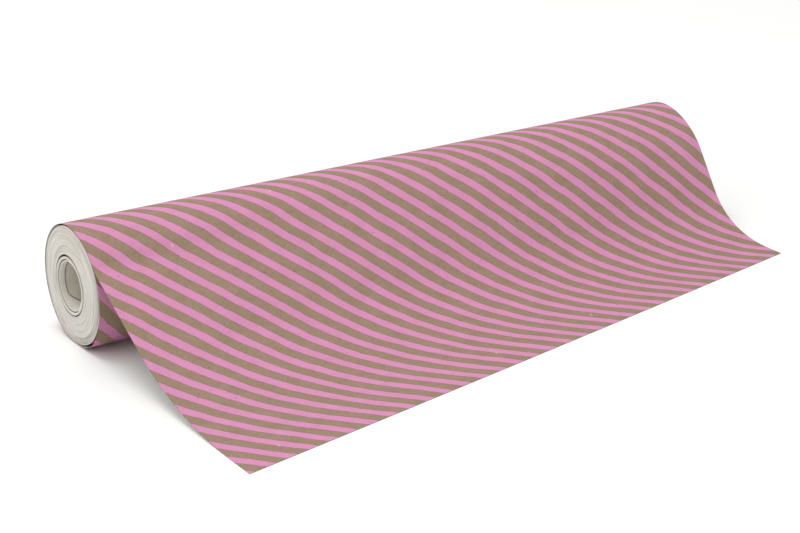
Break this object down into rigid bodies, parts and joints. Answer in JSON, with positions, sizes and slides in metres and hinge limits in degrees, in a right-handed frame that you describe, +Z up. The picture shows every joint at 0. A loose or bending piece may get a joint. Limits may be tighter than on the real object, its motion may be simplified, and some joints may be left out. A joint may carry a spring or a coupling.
{
  "type": "wrapping paper roll",
  "caption": "Counter roll of striped gift wrap on a board core, lying on a surface with its loose end run over the top, down the front and out along the surface.",
  "frame": {"origin": "on the surface that the roll lies on, under the middle of the whole object", "axes": "+X along the roll towards the end where the sheet is shorter, +Z up, -Y to the front, where the sheet runs out"},
  "size_m": [0.602, 0.3214, 0.0974],
  "materials": {
    "printed_paper": "matt kraft paper with pink stripes printed on it",
    "paper_edges": "cut edges of wound paper, matt",
    "core_board": "pale grey board, matt",
    "core_lining": "smooth grey lining paper",
    "tape": "clear tape, slightly yellow"
  },
  "bodies": {
    "web": {"printed_web": "printed_paper"},
    "roll": {"wound_paper": "paper_edges", "core_outer_wall": "core_board", "core_inner_wall": "core_board", "core_liner": "core_lining", "start_tape": "tape"}
  },
  "joints": [
    {"name": "roll_turn", "type": "hinge", "parent": "web", "child": "roll", "pos_m": [0, 0.11181, 0.04835], "axis": [1, 0, 0], "continuous": true}
  ]
}
